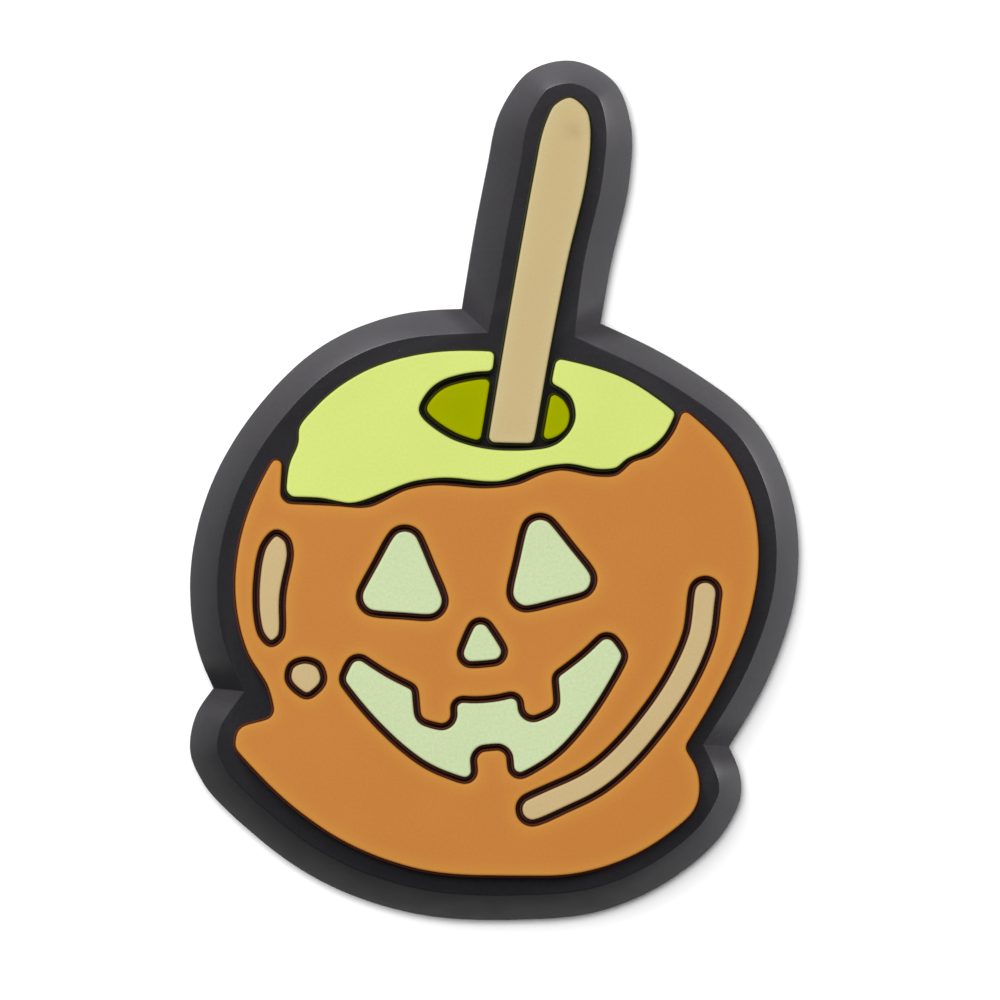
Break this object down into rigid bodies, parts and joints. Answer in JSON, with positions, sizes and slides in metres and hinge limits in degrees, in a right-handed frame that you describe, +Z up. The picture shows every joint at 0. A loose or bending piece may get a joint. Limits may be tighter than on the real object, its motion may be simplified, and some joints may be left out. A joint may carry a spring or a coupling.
{
  "type": "toffee apple charm",
  "caption": "Flat soft rubber charm in the form of a caramel coated apple on a stick, with a dark sloped body, low coloured panels and a carved lantern face.",
  "frame": {"origin": "centre of the bounding box at the flat back, which lies on the surface", "axes": "+Z up out of the face, +Y towards the stick's end, +X to the right as the face is seen"},
  "size_m": [0.0318, 0.045, 0.0034],
  "materials": {
    "charcoal_rubber": "satin moulded",
    "caramel_rubber": "satin moulded",
    "skin_rubber": "satin moulded",
    "dimple_rubber": "satin moulded",
    "stick_rubber": "satin moulded",
    "gleam_rubber": "satin moulded",
    "glow_rubber": "fine grained, glow-in-the-dark filled"
  },
  "bodies": {
    "root": {"body": "charcoal_rubber", "caramel": "caramel_rubber", "apple_skin": "skin_rubber", "dimple_left": "dimple_rubber", "dimple_right": "dimple_rubber", "stick": "stick_rubber", "gleam_right": "gleam_rubber", "gleam_left": "gleam_rubber", "gleam_dot": "gleam_rubber", "eye_left": "glow_rubber", "eye_right": "glow_rubber", "nose": "glow_rubber", "mouth": "glow_rubber"}
  },
  "joints": []
}
